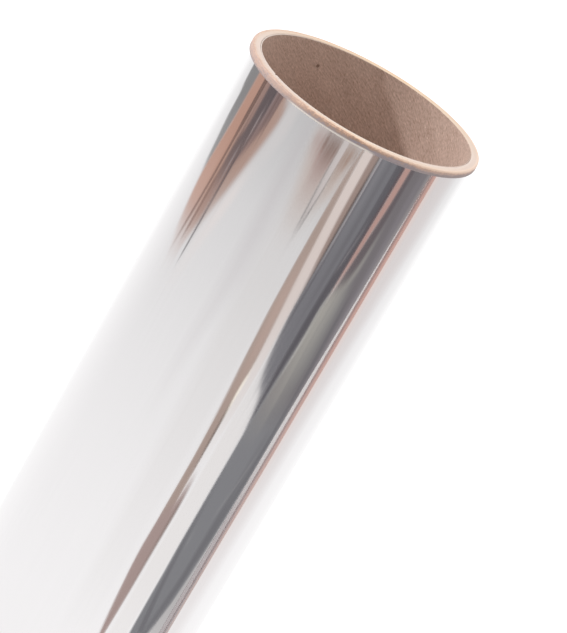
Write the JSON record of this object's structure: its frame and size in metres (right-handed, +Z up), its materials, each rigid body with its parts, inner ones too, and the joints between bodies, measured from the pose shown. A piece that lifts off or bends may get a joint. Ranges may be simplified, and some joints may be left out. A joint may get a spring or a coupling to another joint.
{
  "type": "copper foil tape roll",
  "caption": "Wide roll of silver-faced copper foil with a release liner, wound on a spiral kraft core between copper-toned edge rings, with a free end that peels up.",
  "frame": {"origin": "centre of the lower edge ring's outer face, where the roll stands on a table", "axes": "+Z up along the roll's axis; the picture is taken from -Y, with the foil's free edge on the right of the front"},
  "size_m": [0.0828, 0.0828, 0.3103],
  "materials": {
    "kraft_ply": "matte kraft paperboard",
    "copper_ring": "satin copper-toned pressed board",
    "silver_foil": "bright silver face on copper foil",
    "liner_paper": "smooth white release paper",
    "starter_tape": "thin clear-tan tape"
  },
  "bodies": {
    "roll": {"core_inner_ply": "kraft_ply", "core_middle_ply": "kraft_ply", "core_outer_ply": "kraft_ply", "top_edge_ring": "copper_ring", "bottom_edge_ring": "copper_ring", "starter_tape": "starter_tape", "foil_inner_wraps": "silver_foil", "liner_outer_turn": "liner_paper", "foil_outer_turn": "silver_foil"},
    "tail_foil": {"foil_tail": "silver_foil"},
    "tail_liner": {"liner_tail": "liner_paper"}
  },
  "joints": [
    {"name": "tail_lift", "type": "hinge", "parent": "roll", "child": "tail_foil", "pos_m": [0.04018, 0.0014, 0.15515], "axis": [0, 0, 1], "range_deg": [0, 70]},
    {"name": "liner_lift", "type": "hinge", "parent": "roll", "child": "tail_liner", "pos_m": [0.04004, 0.0014, 0.15515], "axis": [0, 0, 1], "range_deg": [0, 35]}
  ],
  "couplings": [
    {"joint": "liner_lift", "follows": "tail_lift", "ratio": 0.5}
  ]
}
